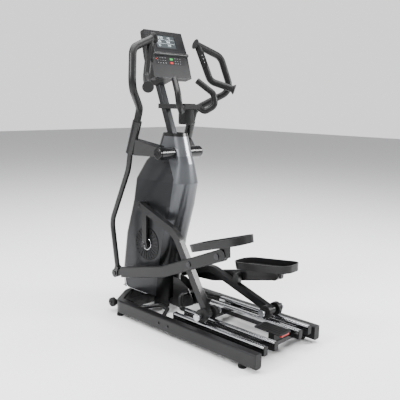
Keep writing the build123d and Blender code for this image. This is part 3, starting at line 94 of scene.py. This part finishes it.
# ---------------------------------------------------------------- floor frame
# Two rounded steel beams, the bent front tube, the ramp tubes and the braces, all welded mild
# steel with a satin black powder coat that has a faint orange peel. The bolts are blackened.
def coating(name, colour, metal, rough, grain, depth, shade=0.25, lacquer=0.0, stretch=(1, 1, 1)):
    """A paint, plastic or metal surface: fine grain, uneven sheen and a little colour drift."""
    skin = bpy.data.materials.new(name)
    skin.use_nodes = True
    tree = skin.node_tree
    shader = tree.nodes["Principled BSDF"]
    shader.inputs["Metallic"].default_value = metal
    shader.inputs["Specular IOR Level"].default_value = 0.22
    shader.inputs["Coat Weight"].default_value = lacquer
    shader.inputs["Coat Roughness"].default_value = 0.12
    place = tree.nodes.new("ShaderNodeTexCoord")
    spread = tree.nodes.new("ShaderNodeMapping")
    spread.inputs["Scale"].default_value = stretch
    tree.links.new(place.outputs["Object"], spread.inputs["Vector"])
    fine = tree.nodes.new("ShaderNodeTexNoise")
    fine.inputs["Scale"].default_value = grain
    fine.inputs["Detail"].default_value = 6
    broad = tree.nodes.new("ShaderNodeTexNoise")
    broad.inputs["Scale"].default_value = 7
    broad.inputs["Detail"].default_value = 3
    tree.links.new(spread.outputs["Vector"], fine.inputs["Vector"])
    tree.links.new(place.outputs["Object"], broad.inputs["Vector"])
    tint = tree.nodes.new("ShaderNodeValToRGB")
    tint.color_ramp.elements[0].position = 0.3
    tint.color_ramp.elements[1].position = 0.7
    tint.color_ramp.elements[0].color = (*[c * (1 - shade) for c in colour], 1)
    tint.color_ramp.elements[1].color = (*[min(1, c * (1 + shade)) for c in colour], 1)
    tree.links.new(broad.outputs["Fac"], tint.inputs["Fac"])
    tree.links.new(tint.outputs["Color"], shader.inputs["Base Color"])
    sheen = tree.nodes.new("ShaderNodeMapRange")
    sheen.inputs["To Min"].default_value = rough * 0.8
    sheen.inputs["To Max"].default_value = min(1, rough * 1.25)
    tree.links.new(fine.outputs["Fac"], sheen.inputs["Value"])
    tree.links.new(sheen.outputs["Result"], shader.inputs["Roughness"])
    relief = tree.nodes.new("ShaderNodeBump")
    relief.inputs["Strength"].default_value = 0.35
    relief.inputs["Distance"].default_value = depth
    tree.links.new(fine.outputs["Fac"], relief.inputs["Height"])
    tree.links.new(relief.outputs["Normal"], shader.inputs["Normal"])
    return skin


def finish_nodes(skin, *names):
    """Gives CAD nodes their surface."""
    for name in names:
        node = frame["nodes"][name]
        if not node.material_slots:
            node.data.materials.append(skin)
        for place in node.material_slots:
            place.material = skin


powder_black = coating("powder_black", (0.006, 0.006, 0.0065), 0.0, 0.33, 900, 0.0001, lacquer=0.12)
finish_nodes(powder_black, "floor_beam_left", "floor_beam_right", "front_frame", "ramp_frame",
             "frame_braces", "upright_frame")
moulded_black = coating("moulded_black", (0.006, 0.006, 0.0065), 0.0, 0.5, 1600, 0.0002)
finish_nodes(moulded_black, "end_caps", "levelling_feet", "power_inlet")
wheel_rubber = coating("wheel_rubber", (0.008, 0.008, 0.0085), 0.0, 0.6, 700, 0.0002)
finish_nodes(wheel_rubber, "transport_wheel_left", "transport_wheel_right")
black_zinc = coating("black_zinc", (0.035, 0.035, 0.037), 0.8, 0.28, 500, 0.00005)
finish_nodes(black_zinc, "bolts")

# ---------------------------------------------------------------- rails
# Bright extrusions on the ramp tubes, where the rollers run. They are drawn lengthwise, so the
# grain runs along the machine.
drawn_bright = coating("drawn_bright", (0.62, 0.63, 0.65), 1.0, 0.13, 30, 0.000004, shade=0.04,
                       stretch=(6, 0.05, 6))
finish_nodes(drawn_bright, "rails")

# ---------------------------------------------------------------- lift handle
# A ribbed moulded plate used to tip the machine onto its wheels. It is moulded in textured black
# plastic, with a glossy red latch bar under it.
finish_nodes(moulded_black, "lift_handle")
latch_red = coating("latch_red", (0.42, 0.008, 0.008), 0.0, 0.35, 800, 0.0001, lacquer=0.15)
finish_nodes(latch_red, "lift_latch")

# ---------------------------------------------------------------- drive inside the shroud
# A steel axle in sealed bearings, a cast pulley, a rubber belt, and an iron flywheel with its
# brake. None of it shows while the shells are closed.
turned_steel = coating("turned_steel", (0.42, 0.43, 0.45), 1.0, 0.28, 260, 0.00006, stretch=(6, 1, 1))
finish_nodes(turned_steel, "crank_axle", "crank_bearings", "flywheel_axle")
cast_alloy = coating("cast_alloy", (0.5, 0.51, 0.53), 1.0, 0.42, 420, 0.0004)
finish_nodes(cast_alloy, "crank_pulley", "brake_magnet", "belt_tensioner")
cast_iron = coating("cast_iron", (0.14, 0.14, 0.15), 1.0, 0.45, 300, 0.0006)
finish_nodes(cast_iron, "flywheel")
belt_rubber = coating("belt_rubber", (0.012, 0.012, 0.012), 0.0, 0.7, 900, 0.0003)
finish_nodes(belt_rubber, "drive_belt")

# ---------------------------------------------------------------- shroud
# Smooth moulded shells: dark metallic sides, a black front strip, a spine with painted shade and
# a painted highlight, near black below to grey above, and a grey metallic cap. Screws along the seams
# hold the side shells.
shell_grey = coating("shell_grey", (0.020, 0.021, 0.023), 0.6, 0.36, 1800, 0.00002, shade=0.08,
                     lacquer=0.2)
finish_nodes(shell_grey, "shroud_left", "shroud_right")
cap_silver = coating("cap_silver", (0.15, 0.156, 0.166), 0.9, 0.3, 1800, 0.00002, shade=0.06,
                     lacquer=0.25)
finish_nodes(cap_silver, "shroud_cap")
spine_painted_light = coating("spine_painted_light", (0.05, 0.052, 0.057), 0.8, 0.3, 1500, 0.00002, lacquer=0.2)
# painted light on the spine: painted shade near black low down, rising with height to a painted grey
# highlight at the top
spine_tree = spine_painted_light.node_tree
spine_axes = spine_tree.nodes.new("ShaderNodeSeparateXYZ")
spine_painted_shade_ramp = spine_tree.nodes.new("ShaderNodeValToRGB")
spine_painted_shade_ramp.color_ramp.elements[0].position = 0.45
spine_painted_shade_ramp.color_ramp.elements[0].color = (0.008, 0.0083, 0.009, 1)
spine_painted_shade_ramp.color_ramp.elements[1].position = 0.92
spine_painted_shade_ramp.color_ramp.elements[1].color = (0.10, 0.105, 0.113, 1)
spine_place = spine_tree.nodes.new("ShaderNodeTexCoord")
spine_tree.links.new(spine_place.outputs["Object"], spine_axes.inputs["Vector"])
spine_tree.links.new(spine_axes.outputs["Z"], spine_painted_shade_ramp.inputs["Fac"])
spine_tree.links.new(spine_painted_shade_ramp.outputs["Color"],
                     spine_tree.nodes["Principled BSDF"].inputs["Base Color"])
finish_nodes(spine_painted_light, "shroud_spine")
strip_black = coating("strip_black", (0.006, 0.006, 0.0065), 0.0, 0.28, 1500, 0.00003, lacquer=0.25)
finish_nodes(strip_black, "shroud_front")
vent_grey = coating("vent_grey", (0.012, 0.0122, 0.013), 0.5, 0.34, 1200, 0.00005)
finish_nodes(vent_grey, "vent_discs")


def settle(piece, name, skin, body, smooth=32):
    """Puts a finished piece's place into its mesh, gives it its surface and fixes it to a body."""
    bpy.ops.object.select_all(action="DESELECT")
    piece.select_set(True)
    bpy.context.view_layer.objects.active = piece
    bpy.ops.object.transform_apply(location=True, rotation=True, scale=True)
    bpy.ops.object.shade_smooth_by_angle(angle=math.radians(smooth))
    piece.name = name
    piece.data.materials.clear()
    piece.data.materials.append(skin)
    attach(piece, body)
    return piece


# polished trim along the lower front edge of each side shell
trim_bright = coating("trim_bright", (0.8, 0.81, 0.84), 1.0, 0.14, 600, 0.00004, shade=0.04)
trim_reach = 0.1078          # how far out from the middle the trim lies
trim_line = ((0.400, 0.1215), (0.480, 0.1215), (0.560, 0.1215), (0.605, 0.1215), (0.6255, 0.150),
             (0.6255, 0.200))
for side, s in (("left", -1), ("right", 1)):
    bpy.ops.object.select_all(action="DESELECT")
    bpy.ops.curve.primitive_nurbs_path_add(radius=1, location=(0, 0, 0))
    trim = bpy.context.object
    path = trim.data.splines[0]
    path.points.add(len(trim_line) - len(path.points))
    for point, (y, z) in zip(path.points, trim_line):
        point.co = (s * trim_reach, y, z, 1)
    path.order_u = 3
    path.use_endpoint_u = True
    trim.data.bevel_depth = 0.0022
    trim.data.bevel_resolution = 4
    trim.data.use_fill_caps = True
    bpy.ops.object.convert(target="MESH")
    settle(bpy.context.object, f"shroud_trim_{side}", trim_bright, "frame")


# recessed screws on the shells
def recessed_screw(name, place, direction, radius, body):
    """A round screw head with a round recess in its face, facing along direction."""
    bpy.ops.object.select_all(action="DESELECT")
    bpy.ops.mesh.primitive_cylinder_add(vertices=36, radius=radius, depth=0.003, location=place)
    screw = bpy.context.object
    screw.rotation_euler = Vector(direction).to_track_quat("Z", "Y").to_euler()
    bpy.ops.object.mode_set(mode="EDIT")
    bpy.ops.mesh.select_all(action="DESELECT")
    bpy.ops.object.mode_set(mode="OBJECT")
    for face in screw.data.polygons:
        face.select = face.normal.z > 0.9
    bpy.ops.object.mode_set(mode="EDIT")
    bpy.ops.mesh.select_mode(type="FACE")
    bpy.ops.mesh.inset(thickness=radius * 0.25, depth=0.0006)
    bpy.ops.mesh.inset(thickness=radius * 0.25, depth=0)
    bpy.ops.mesh.inset(thickness=radius * 0.04, depth=-0.0016)
    bpy.ops.object.mode_set(mode="OBJECT")
    settle(screw, name, black_zinc, body)


# (x, y, z, how far the screw leans up): the two upper ones sit where the shell slopes
shell_screws = ((0.0665, 0.292, 1.000, 0.25), (0.0805, 0.215, 0.945, 0.25),
                (0.1085, 0.300, 0.300, 0), (0.1085, 0.560, 0.210, 0))
for side, s in (("left", -1), ("right", 1)):
    for i, (x, y, z, lean) in enumerate(shell_screws):
        recessed_screw(f"shell_screw_{side}_{i}", (s * x, y, z), (s, 0, lean), 0.0065, "frame")

# bright hub ring of each vent disc, round the crank's axis
joints = {joint["name"]: joint for joint in frame["joints"]}
crank_axis = Vector(joints["crank_spin"]["pos_m"])
for side, s in (("left", -1), ("right", 1)):
    bpy.ops.object.select_all(action="DESELECT")
    bpy.ops.mesh.primitive_torus_add(location=(s * 0.1108, *crank_axis.yz),
                                     rotation=(0, math.pi / 2, 0), major_radius=0.040,
                                     minor_radius=0.0022, major_segments=96, minor_segments=10)
    settle(bpy.context.object, f"vent_ring_{side}", trim_bright, "frame")

# ---------------------------------------------------------------- cranks
# Forged arms with a satin black coat and a round boss on the axle. A bolt with a recessed round
# head holds each boss on.
crank_black = coating("crank_black", (0.008, 0.008, 0.0085), 0.0, 0.3, 700, 0.0001, lacquer=0.15)
finish_nodes(crank_black, "left_crank_arm", "right_crank_arm")
for side, s in (("left", -1), ("right", 1)):
    recessed_screw(f"crank_bolt_{side}", (s * 0.1352, *crank_axis.yz), (s, 0, 0), 0.011, "crank")

# ---------------------------------------------------------------- legs and rollers
# Bent box-section legs in powder coat, pinned to the cranks above. Each stands on a steel axle
# with two cast polyurethane rollers, which run on the rails.
finish_nodes(powder_black, "left_leg", "right_leg")
finish_nodes(turned_steel, "left_roller_axle", "right_roller_axle")
roller_tread = coating("roller_tread", (0.010, 0.010, 0.0105), 0.0, 0.4, 500, 0.0001)
finish_nodes(roller_tread, "left_rollers", "right_rollers")
crank_throw = 0.258
for side, s in (("left", -1), ("right", 1)):
    y, z = Vector(joints[f"{side}_leg_tilt"]["pos_m"]).yz
    for i, x in enumerate((0.0645, 0.2555)):
        bpy.ops.object.select_all(action="DESELECT")
        bpy.ops.mesh.primitive_torus_add(location=(s * x, y, z), rotation=(0, math.pi / 2, 0),
                                         major_radius=0.0165, minor_radius=0.0018,
                                         major_segments=48, minor_segments=8)
        settle(bpy.context.object, f"{side}_axle_ring_{i}", black_zinc, f"{side}_carriage")
    # the left crank stands up and the right one down
    pin = (s * 0.1785, crank_axis.y, crank_axis.z - s * crank_throw)
    recessed_screw(f"{side}_leg_bolt", pin, (s, 0, 0), 0.013, f"{side}_leg")

# ---------------------------------------------------------------- foot arms and pedals
# Rounded box-section arms in powder coat, bolted to the swing arms. The pedals are moulded trays,
# each with a ribbed rubber mat laid in it.
finish_nodes(powder_black, "left_foot_arm", "right_foot_arm")
finish_nodes(black_zinc, "left_arm_bolts", "right_arm_bolts")
pedal_black = coating("pedal_black", (0.006, 0.006, 0.0065), 0.0, 0.36, 1100, 0.0001, lacquer=0.08)
finish_nodes(pedal_black, "left_pedal", "right_pedal")
mat_rubber = coating("mat_rubber", (0.009, 0.009, 0.0095), 0.0, 0.55, 1300, 0.0002)

mat_width, mat_length, mat_corner = 0.146, 0.382, 0.056
rib_count, rib_pitch, rib_reach = 21, 0.0165, 0.062
bpy.ops.object.select_all(action="DESELECT")
bpy.ops.mesh.primitive_plane_add(size=1, location=(0, 0, 0))
mat = bpy.context.object
mat.scale = (mat_width, mat_length, 1)
bpy.ops.object.transform_apply(scale=True)
bpy.ops.object.mode_set(mode="EDIT")
bpy.ops.mesh.select_all(action="SELECT")
bpy.ops.mesh.bevel(offset=mat_corner, segments=10, affect="VERTICES")
bpy.ops.mesh.extrude_region_move(TRANSFORM_OT_translate={"value": (0, 0, 0.0035)})
bpy.ops.mesh.inset(thickness=0.0015, depth=0.0008)
bpy.ops.mesh.inset(thickness=0.006, depth=0)
bpy.ops.mesh.inset(thickness=0.001, depth=-0.001)
bpy.ops.object.mode_set(mode="OBJECT")
ribs = [mat]
for i in range(rib_count):
    y = (i - (rib_count - 1) / 2) * rib_pitch
    # the ribs get shorter where the mat's corners are rounded
    half = rib_reach - max(0, abs(y) - 0.12) * 0.55
    bpy.ops.object.select_all(action="DESELECT")
    bpy.ops.mesh.primitive_cube_add(size=1, location=(0, y, 0.0045))
    rib = bpy.context.object
    rib.scale = (2 * half, 0.0075, 0.003)
    bpy.ops.object.transform_apply(scale=True)
    bpy.ops.object.mode_set(mode="EDIT")
    bpy.ops.mesh.select_all(action="SELECT")
    bpy.ops.mesh.bevel(offset=0.0011, segments=2, affect="EDGES")
    bpy.ops.object.mode_set(mode="OBJECT")
    ribs.append(rib)
bpy.ops.object.select_all(action="DESELECT")
for rib in ribs:
    rib.select_set(True)
bpy.context.view_layer.objects.active = mat
bpy.ops.object.join()


def flat_seat(name, facing):
    """The place on a CAD node's largest flat that looks along facing: x across, z out of it."""
    mesh = frame["nodes"][name].data
    flat = max((face for face in mesh.polygons if face.normal.dot(Vector(facing)) > 0.8),
               key=lambda face: face.area)
    out = flat.normal.copy()
    across = Vector((1, 0, 0))
    turn = Matrix((across, out.cross(across), out)).transposed().to_4x4()
    level = flat.center.dot(out)
    spots = [turn.inverted() @ point.co for point in mesh.vertices
             if abs(point.co.dot(out) - level) < 0.0001]
    middle = [(min(spot[i] for spot in spots) + max(spot[i] for spot in spots)) / 2
              for i in range(3)]
    return turn @ Matrix.Translation(middle)


lift = Matrix.Translation((0, 0, 0.0001))       # what is laid on a face stands this clear of it
for side in ("left", "right"):
    copy = mat.copy()
    copy.data = mat.data.copy()
    bpy.context.collection.objects.link(copy)
    copy.matrix_world = flat_seat(f"{side}_pedal", (0, 0, 1)) @ lift
    settle(copy, f"{side}_pedal_mat", mat_rubber, f"{side}_foot")
bpy.data.objects.remove(mat)

# ---------------------------------------------------------------- swing arms and grips
# Welded steel arms in gloss black that turn on the hub, and grips covered in black foam. Each
# inner grip carries a row of three rubber keys.
gloss_black = coating("gloss_black", (0.006, 0.006, 0.0065), 0.0, 0.24, 900, 0.00004, lacquer=0.3)
finish_nodes(gloss_black, "left_swing_arm", "right_swing_arm", "hub_axle")
grip_foam = coating("grip_foam", (0.006, 0.006, 0.0065), 0.0, 0.45, 1500, 0.0003, lacquer=0.05)
finish_nodes(grip_foam, "left_hand_grip", "right_hand_grip")
pod_rubber = coating("pod_rubber", (0.014, 0.014, 0.015), 0.0, 0.45, 1200, 0.0001)
finish_nodes(pod_rubber, "left_pod_keys", "right_pod_keys")
hub_axis = Vector(joints["left_swing_tilt"]["pos_m"])
for side, s in (("left", -1), ("right", 1)):
    for label, x, radius, thick in (("rim", 0.1835, 0.0245, 0.0014), ("seat", 0.1835, 0.012, 0.0012)):
        bpy.ops.object.select_all(action="DESELECT")
        bpy.ops.mesh.primitive_torus_add(location=(s * x, *hub_axis.yz),
                                         rotation=(0, math.pi / 2, 0), major_radius=radius,
                                         minor_radius=thick, major_segments=64, minor_segments=8)
        settle(bpy.context.object, f"hub_cap_{label}_{side}", gloss_black, "frame")
    bpy.ops.object.select_all(action="DESELECT")
    bpy.ops.mesh.primitive_torus_add(location=(s * 0.0665, *hub_axis.yz),
                                     rotation=(0, math.pi / 2, 0), major_radius=0.0345,
                                     minor_radius=0.0024, major_segments=64, minor_segments=8)
    settle(bpy.context.object, f"hub_flange_{side}", gloss_black, "frame")

# ---------------------------------------------------------------- mast, fixed bars, bottle holder
# A square mast with a brushed dark finish. A bracket on it holds two foam-covered bars and a
# moulded cup for a bottle.
mast_grey = coating("mast_grey", (0.03, 0.031, 0.033), 0.75, 0.34, 300, 0.00005, stretch=(5, 5, 0.15))
finish_nodes(mast_grey, "mast")
finish_nodes(grip_foam, "fixed_bars")
finish_nodes(gloss_black, "bar_bracket")
finish_nodes(moulded_black, "bottle_holder")

# ---------------------------------------------------------------- console
# A moulded housing with a lit panel above, and a printed keypad with two rubber keys below. A
# thin raised lip runs round the panel.
finish_nodes(moulded_black, "console_back")
face_grey = coating("face_grey", (0.010, 0.0102, 0.011), 0.0, 0.36, 1400, 0.00005, lacquer=0.1)
finish_nodes(face_grey, "console_front")
pad_film = coating("pad_film", (0.006, 0.006, 0.007), 0.0, 0.28, 900, 0.00003, lacquer=0.15)
finish_nodes(pad_film, "keypad")
key_green = coating("key_green", (0.02, 0.45, 0.07), 0.0, 0.4, 900, 0.0001)
finish_nodes(key_green, "start_key")
key_red = coating("key_red", (0.55, 0.015, 0.012), 0.0, 0.4, 900, 0.0001)
finish_nodes(key_red, "stop_key")
panel_grey = coating("panel_grey", (0.045, 0.052, 0.056), 0.0, 0.2, 60, 0.00001, shade=0.2,
                     lacquer=0.3)
finish_nodes(panel_grey, "console_screen")


# lit figures on the panel: three rows of seven-bar numbers
lit_white = bpy.data.materials.new("lit_white")
lit_white.use_nodes = True
lit_shader = lit_white.node_tree.nodes["Principled BSDF"]
lit_shader.inputs["Base Color"].default_value = (0.75, 0.85, 0.88, 1)
lit_shader.inputs["Emission Color"].default_value = (0.78, 0.9, 0.95, 1)
lit_shader.inputs["Emission Strength"].default_value = 0.7
lit_shader.inputs["Roughness"].default_value = 0.3


def slab(x, y, width, height, thick, corner):
    """A small flat bar with rounded corners, lying on z = 0."""
    bpy.ops.object.select_all(action="DESELECT")
    bpy.ops.mesh.primitive_plane_add(size=1, location=(x, y, 0))
    bar = bpy.context.object
    bar.scale = (width, height, 1)
    bpy.ops.object.transform_apply(location=True, rotation=True, scale=True)
    bpy.ops.object.mode_set(mode="EDIT")
    bpy.ops.mesh.select_all(action="SELECT")
    bpy.ops.mesh.bevel(offset=corner, segments=3, affect="VERTICES")
    bpy.ops.mesh.extrude_region_move(TRANSFORM_OT_translate={"value": (0, 0, thick)})
    bpy.ops.object.mode_set(mode="OBJECT")
    return bar


def together(pieces):
    """Joins pieces into the first of them."""
    bpy.ops.object.select_all(action="DESELECT")
    for piece in pieces:
        piece.select_set(True)
    bpy.context.view_layer.objects.active = pieces[0]
    bpy.ops.object.join()
    return pieces[0]


bars_of = {"0": "abcdef", "1": "bc", "2": "abged", "3": "abgcd", "4": "fgbc", "5": "afgcd",
           "6": "afgedc", "7": "abc", "8": "abcdefg", "9": "abcdfg"}
bar_spots = {"a": (0, 1, 1), "g": (0, 0, 1), "d": (0, -1, 1), "f": (-1, 0.5, 0), "b": (1, 0.5, 0),
             "e": (-1, -0.5, 0), "c": (1, -0.5, 0)}
figures = []
for text, left, middle, half in (("1230", -0.062, 0.026, 0.0075), ("45", 0.026, 0.026, 0.0075),
                                 ("106", -0.062, 0.000, 0.0060), ("082", 0.012, 0.000, 0.0060),
                                 ("35", -0.062, -0.024, 0.0060), ("148", 0.012, -0.024, 0.0060)):
    for i, digit in enumerate(text):
        for bar in bars_of[digit]:
            dx, dy, flat = bar_spots[bar]
            x = left + i * 1.75 * half + dx * 0.5 * half
            y = middle + dy * half
            size = (0.75 * half, 0.0013) if flat else (0.0013, 0.85 * half)
            figures.append(slab(x, y, *size, 0.0003, 0.0004))
figures.append(slab(0, 0.0132, 0.15, 0.0007, 0.0003, 0.0002))
figures.append(slab(0, -0.0120, 0.15, 0.0007, 0.0003, 0.0002))
lit_figures = together(figures)
console_facing = (0, -0.95, 0.3)
panel_seat = flat_seat("console_screen", console_facing)
lit_figures.matrix_world = panel_seat @ lift
settle(lit_figures, "panel_figures", lit_white, "frame")

# bezel lip round the panel
bpy.ops.object.select_all(action="DESELECT")
bpy.ops.mesh.primitive_plane_add(size=1, location=(0, 0, 0))
lip = bpy.context.object
lip.scale = (0.178, 0.100, 1)
bpy.ops.object.transform_apply(scale=True)
bpy.ops.object.mode_set(mode="EDIT")
bpy.ops.mesh.select_all(action="SELECT")
bpy.ops.mesh.bevel(offset=0.008, segments=6, affect="VERTICES")
bpy.ops.mesh.select_all(action="SELECT")
bpy.ops.mesh.inset(thickness=0.0075, depth=0)
bpy.ops.mesh.delete(type="FACE")
bpy.ops.object.mode_set(mode="OBJECT")
lip_wall = lip.modifiers.new("lip_wall", "SOLIDIFY")
lip_wall.thickness = 0.0016
lip_wall.offset = 1
bpy.ops.object.modifier_apply(modifier="lip_wall")
lip.matrix_world = panel_seat @ Matrix.Translation((0, 0, 0.0016))
settle(lip, "panel_lip", moulded_black, "frame")

# printed marks on the keypad, and one small red mark at its left
print_white = coating("print_white", (0.62, 0.63, 0.65), 0.0, 0.4, 900, 0.00002, shade=0.03)
marks = []
for y, mark_width in ((0.012, 0.0065), (-0.004, 0.004), (-0.019, 0.0065)):
    for i in range(10):
        x = -0.104 + i * 0.0208
        # the middle is left free for the start and stop keys
        if not -0.024 < x < 0.036:
            marks.append(slab(x, y, mark_width, 0.0015, 0.0003, 0.0005))
keypad_marks = together(marks)
keypad_seat = flat_seat("keypad", console_facing)
keypad_marks.matrix_world = keypad_seat
settle(keypad_marks, "keypad_marks", print_white, "frame")
red_mark = slab(-0.1165, 0.0045, 0.008, 0.006, 0.0006, 0.002)
red_mark.matrix_world = keypad_seat
settle(red_mark, "keypad_red_mark", key_red, "frame")


def pod_seat(side):
    """The place on top of a row of pod keys: x down the row, z out of the keys."""
    out = -Vector(joints[f"{side}_pod_press"]["axis"])
    spots = [point.co for point in frame["nodes"][f"{side}_pod_keys"].data.vertices]
    reach = max(spot.dot(out) for spot in spots)
    tops = [spot for spot in spots if spot.dot(out) > reach - 0.0001]
    middle = sum(tops, Vector()) / len(tops)
    end = max(tops, key=lambda spot: (spot - middle).length) - middle
    # from the keys on one side of the middle to those on the other
    ahead = [spot for spot in tops if (spot - middle).dot(end.normalized()) > 0.01]
    behind = [spot for spot in tops if (spot - middle).dot(end.normalized()) < -0.01]
    run = (sum(ahead, Vector()) / len(ahead) - sum(behind, Vector()) / len(behind)).normalized()
    if run.z > 0:
        run = -run
    turn = Matrix((run, out.cross(run), out)).transposed().to_4x4()
    return Matrix.Translation(middle) @ turn


# pale marks on the tips of the pod keys
key_pitch = 0.0233
for side in ("left", "right"):
    tips = together([slab(step, 0, 0.005, 0.0022, 0.0003, 0.0006)
                     for step in (-key_pitch, 0, key_pitch)])
    tips.matrix_world = pod_seat(side)
    settle(tips, f"{side}_pod_marks", print_white, f"{side}_keys")
